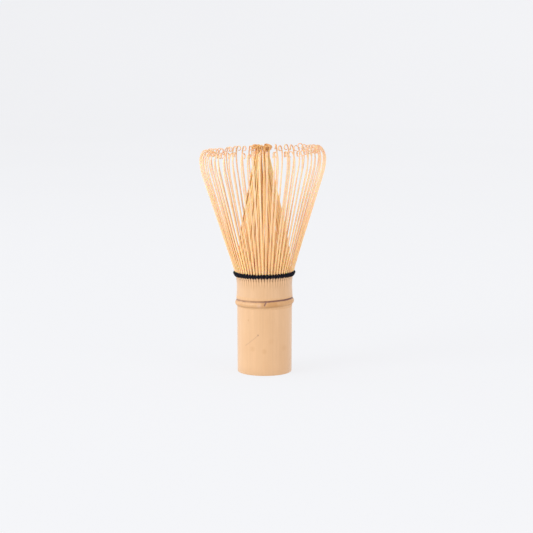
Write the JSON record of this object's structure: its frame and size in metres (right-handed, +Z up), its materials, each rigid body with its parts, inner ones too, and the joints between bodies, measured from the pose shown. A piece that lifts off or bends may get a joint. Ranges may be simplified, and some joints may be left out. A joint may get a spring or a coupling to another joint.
{
  "type": "bamboo tea whisk",
  "caption": "Bamboo whisk for powdered tea: hollow handle with a node ring, black thread binding, flared cage of hooked outer tines round a slim inner bundle.",
  "frame": {"origin": "centre of the handle's flat foot, on the surface the whisk stands on", "axes": "+Z up along the culm's axis from the foot to the tips, +X to the right and -Y towards the viewer of the picture"},
  "size_m": [0.0588, 0.0588, 0.1042],
  "materials": {
    "handle_bamboo": "satin",
    "node_bamboo": "satin",
    "inside_bamboo": "matte",
    "outer_tine_bamboo": "satin",
    "inner_tine_bamboo": "satin",
    "black_thread": "matte"
  },
  "bodies": {
    "root": {"handle_tube": "handle_bamboo", "node_ring": "node_bamboo", "node_septum": "inside_bamboo", "tine_collar": "handle_bamboo", "thread_upper_round": "black_thread", "thread_middle_round": "black_thread", "thread_lower_round": "black_thread", "thread_inner_round": "black_thread", "thread_knot": "black_thread"},
    "outer_split_01": {"outer_split_01": "outer_tine_bamboo"},
    "outer_split_02": {"outer_split_02": "outer_tine_bamboo"},
    "outer_split_03": {"outer_split_03": "outer_tine_bamboo"},
    "outer_split_04": {"outer_split_04": "outer_tine_bamboo"},
    "outer_split_05": {"outer_split_05": "outer_tine_bamboo"},
    "outer_split_06": {"outer_split_06": "outer_tine_bamboo"},
    "outer_split_07": {"outer_split_07": "outer_tine_bamboo"},
    "outer_split_08": {"outer_split_08": "outer_tine_bamboo"},
    "outer_split_09": {"outer_split_09": "outer_tine_bamboo"},
    "outer_split_10": {"outer_split_10": "outer_tine_bamboo"},
    "outer_split_11": {"outer_split_11": "outer_tine_bamboo"},
    "outer_split_12": {"outer_split_12": "outer_tine_bamboo"},
    "outer_split_13": {"outer_split_13": "outer_tine_bamboo"},
    "outer_split_14": {"outer_split_14": "outer_tine_bamboo"},
    "outer_split_15": {"outer_split_15": "outer_tine_bamboo"},
    "outer_split_16": {"outer_split_16": "outer_tine_bamboo"},
    "inner_split_01": {"inner_split_01": "inner_tine_bamboo"},
    "inner_split_02": {"inner_split_02": "inner_tine_bamboo"},
    "inner_split_03": {"inner_split_03": "inner_tine_bamboo"},
    "inner_split_04": {"inner_split_04": "inner_tine_bamboo"},
    "inner_split_05": {"inner_split_05": "inner_tine_bamboo"},
    "inner_split_06": {"inner_split_06": "inner_tine_bamboo"},
    "inner_split_07": {"inner_split_07": "inner_tine_bamboo"},
    "inner_split_08": {"inner_split_08": "inner_tine_bamboo"},
    "inner_split_09": {"inner_split_09": "inner_tine_bamboo"},
    "inner_split_10": {"inner_split_10": "inner_tine_bamboo"},
    "inner_split_11": {"inner_split_11": "inner_tine_bamboo"},
    "inner_split_12": {"inner_split_12": "inner_tine_bamboo"},
    "inner_split_13": {"inner_split_13": "inner_tine_bamboo"},
    "inner_split_14": {"inner_split_14": "inner_tine_bamboo"},
    "inner_split_15": {"inner_split_15": "inner_tine_bamboo"},
    "inner_split_16": {"inner_split_16": "inner_tine_bamboo"}
  },
  "joints": [
    {"name": "outer_flex_01", "type": "hinge", "parent": "root", "child": "outer_split_01", "pos_m": [0.01378, 0, 0.04757], "axis": [0, 1, 0], "range_deg": [-4, 8], "stiffness_Nm_per_rad": 0.02},
    {"name": "outer_flex_02", "type": "hinge", "parent": "root", "child": "outer_split_02", "pos_m": [0.01273, 0.00527, 0.04757], "axis": [-0.3827, 0.9239, 0], "range_deg": [-4, 8], "stiffness_Nm_per_rad": 0.02},
    {"name": "outer_flex_03", "type": "hinge", "parent": "root", "child": "outer_split_03", "pos_m": [0.00974, 0.00974, 0.04757], "axis": [-0.7071, 0.7071, 0], "range_deg": [-4, 8], "stiffness_Nm_per_rad": 0.02},
    {"name": "outer_flex_04", "type": "hinge", "parent": "root", "child": "outer_split_04", "pos_m": [0.00527, 0.01273, 0.04757], "axis": [-0.9239, 0.3827, 0], "range_deg": [-4, 8], "stiffness_Nm_per_rad": 0.02},
    {"name": "outer_flex_05", "type": "hinge", "parent": "root", "child": "outer_split_05", "pos_m": [0, 0.01378, 0.04757], "axis": [-1, 0, 0], "range_deg": [-4, 8], "stiffness_Nm_per_rad": 0.02},
    {"name": "outer_flex_06", "type": "hinge", "parent": "root", "child": "outer_split_06", "pos_m": [-0.00527, 0.01273, 0.04757], "axis": [-0.9239, -0.3827, 0], "range_deg": [-4, 8], "stiffness_Nm_per_rad": 0.02},
    {"name": "outer_flex_07", "type": "hinge", "parent": "root", "child": "outer_split_07", "pos_m": [-0.00974, 0.00974, 0.04757], "axis": [-0.7071, -0.7071, 0], "range_deg": [-4, 8], "stiffness_Nm_per_rad": 0.02},
    {"name": "outer_flex_08", "type": "hinge", "parent": "root", "child": "outer_split_08", "pos_m": [-0.01273, 0.00527, 0.04757], "axis": [-0.3827, -0.9239, 0], "range_deg": [-4, 8], "stiffness_Nm_per_rad": 0.02},
    {"name": "outer_flex_09", "type": "hinge", "parent": "root", "child": "outer_split_09", "pos_m": [-0.01378, 0, 0.04757], "axis": [0, -1, 0], "range_deg": [-4, 8], "stiffness_Nm_per_rad": 0.02},
    {"name": "outer_flex_10", "type": "hinge", "parent": "root", "child": "outer_split_10", "pos_m": [-0.01273, -0.00527, 0.04757], "axis": [0.3827, -0.9239, 0], "range_deg": [-4, 8], "stiffness_Nm_per_rad": 0.02},
    {"name": "outer_flex_11", "type": "hinge", "parent": "root", "child": "outer_split_11", "pos_m": [-0.00974, -0.00974, 0.04757], "axis": [0.7071, -0.7071, 0], "range_deg": [-4, 8], "stiffness_Nm_per_rad": 0.02},
    {"name": "outer_flex_12", "type": "hinge", "parent": "root", "child": "outer_split_12", "pos_m": [-0.00527, -0.01273, 0.04757], "axis": [0.9239, -0.3827, 0], "range_deg": [-4, 8], "stiffness_Nm_per_rad": 0.02},
    {"name": "outer_flex_13", "type": "hinge", "parent": "root", "child": "outer_split_13", "pos_m": [0, -0.01378, 0.04757], "axis": [1, 0, 0], "range_deg": [-4, 8], "stiffness_Nm_per_rad": 0.02},
    {"name": "outer_flex_14", "type": "hinge", "parent": "root", "child": "outer_split_14", "pos_m": [0.00527, -0.01273, 0.04757], "axis": [0.9239, 0.3827, 0], "range_deg": [-4, 8], "stiffness_Nm_per_rad": 0.02},
    {"name": "outer_flex_15", "type": "hinge", "parent": "root", "child": "outer_split_15", "pos_m": [0.00974, -0.00974, 0.04757], "axis": [0.7071, 0.7071, 0], "range_deg": [-4, 8], "stiffness_Nm_per_rad": 0.02},
    {"name": "outer_flex_16", "type": "hinge", "parent": "root", "child": "outer_split_16", "pos_m": [0.01273, -0.00527, 0.04757], "axis": [0.3827, 0.9239, 0], "range_deg": [-4, 8], "stiffness_Nm_per_rad": 0.02},
    {"name": "inner_flex_01", "type": "hinge", "parent": "root", "child": "inner_split_01", "pos_m": [0.01213, 0, 0.04757], "axis": [0, 1, 0], "range_deg": [0, 8], "stiffness_Nm_per_rad": 0.004},
    {"name": "inner_flex_02", "type": "hinge", "parent": "root", "child": "inner_split_02", "pos_m": [0.01121, 0.00464, 0.04757], "axis": [-0.3827, 0.9239, 0], "range_deg": [0, 8], "stiffness_Nm_per_rad": 0.004},
    {"name": "inner_flex_03", "type": "hinge", "parent": "root", "child": "inner_split_03", "pos_m": [0.00858, 0.00858, 0.04757], "axis": [-0.7071, 0.7071, 0], "range_deg": [0, 8], "stiffness_Nm_per_rad": 0.004},
    {"name": "inner_flex_04", "type": "hinge", "parent": "root", "child": "inner_split_04", "pos_m": [0.00464, 0.01121, 0.04757], "axis": [-0.9239, 0.3827, 0], "range_deg": [0, 8], "stiffness_Nm_per_rad": 0.004},
    {"name": "inner_flex_05", "type": "hinge", "parent": "root", "child": "inner_split_05", "pos_m": [0, 0.01213, 0.04757], "axis": [-1, 0, 0], "range_deg": [0, 8], "stiffness_Nm_per_rad": 0.004},
    {"name": "inner_flex_06", "type": "hinge", "parent": "root", "child": "inner_split_06", "pos_m": [-0.00464, 0.01121, 0.04757], "axis": [-0.9239, -0.3827, 0], "range_deg": [0, 8], "stiffness_Nm_per_rad": 0.004},
    {"name": "inner_flex_07", "type": "hinge", "parent": "root", "child": "inner_split_07", "pos_m": [-0.00858, 0.00858, 0.04757], "axis": [-0.7071, -0.7071, 0], "range_deg": [0, 8], "stiffness_Nm_per_rad": 0.004},
    {"name": "inner_flex_08", "type": "hinge", "parent": "root", "child": "inner_split_08", "pos_m": [-0.01121, 0.00464, 0.04757], "axis": [-0.3827, -0.9239, 0], "range_deg": [0, 8], "stiffness_Nm_per_rad": 0.004},
    {"name": "inner_flex_09", "type": "hinge", "parent": "root", "child": "inner_split_09", "pos_m": [-0.01213, 0, 0.04757], "axis": [0, -1, 0], "range_deg": [0, 8], "stiffness_Nm_per_rad": 0.004},
    {"name": "inner_flex_10", "type": "hinge", "parent": "root", "child": "inner_split_10", "pos_m": [-0.01121, -0.00464, 0.04757], "axis": [0.3827, -0.9239, 0], "range_deg": [0, 8], "stiffness_Nm_per_rad": 0.004},
    {"name": "inner_flex_11", "type": "hinge", "parent": "root", "child": "inner_split_11", "pos_m": [-0.00858, -0.00858, 0.04757], "axis": [0.7071, -0.7071, 0], "range_deg": [0, 8], "stiffness_Nm_per_rad": 0.004},
    {"name": "inner_flex_12", "type": "hinge", "parent": "root", "child": "inner_split_12", "pos_m": [-0.00464, -0.01121, 0.04757], "axis": [0.9239, -0.3827, 0], "range_deg": [0, 8], "stiffness_Nm_per_rad": 0.004},
    {"name": "inner_flex_13", "type": "hinge", "parent": "root", "child": "inner_split_13", "pos_m": [0, -0.01213, 0.04757], "axis": [1, 0, 0], "range_deg": [0, 8], "stiffness_Nm_per_rad": 0.004},
    {"name": "inner_flex_14", "type": "hinge", "parent": "root", "child": "inner_split_14", "pos_m": [0.00464, -0.01121, 0.04757], "axis": [0.9239, 0.3827, 0], "range_deg": [0, 8], "stiffness_Nm_per_rad": 0.004},
    {"name": "inner_flex_15", "type": "hinge", "parent": "root", "child": "inner_split_15", "pos_m": [0.00858, -0.00858, 0.04757], "axis": [0.7071, 0.7071, 0], "range_deg": [0, 8], "stiffness_Nm_per_rad": 0.004},
    {"name": "inner_flex_16", "type": "hinge", "parent": "root", "child": "inner_split_16", "pos_m": [0.01121, -0.00464, 0.04757], "axis": [0.3827, 0.9239, 0], "range_deg": [0, 8], "stiffness_Nm_per_rad": 0.004}
  ]
}
